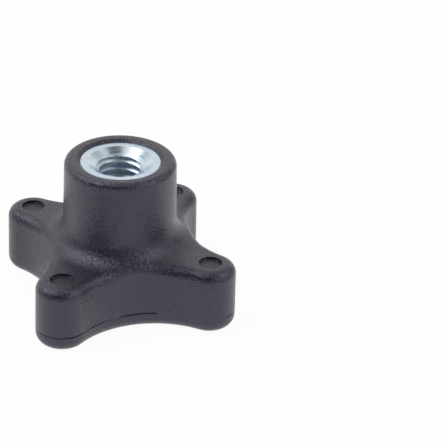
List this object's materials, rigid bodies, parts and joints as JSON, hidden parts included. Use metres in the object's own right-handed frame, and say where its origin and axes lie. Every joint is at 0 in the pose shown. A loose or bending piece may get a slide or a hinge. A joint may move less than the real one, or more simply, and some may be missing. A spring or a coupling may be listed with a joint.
{
  "type": "star knob",
  "caption": "Star knob with a flat crown, rounded lobes and a flared hub, moulded round a threaded steel bush that is open at the hub's end.",
  "frame": {"origin": "centre of the crown face that the knob stands on", "axes": "+Z along the threaded hole, out of its mouth; +X and +Y through the middles of two neighbouring lobes"},
  "size_m": [0.032, 0.032, 0.0187],
  "materials": {
    "black_polyamide": "fine spark-eroded matt texture",
    "zinc_plated_steel": "bright bluish zinc plating over turned steel"
  },
  "bodies": {
    "root": {"knob_body": "black_polyamide", "threaded_insert": "zinc_plated_steel"}
  },
  "joints": []
}
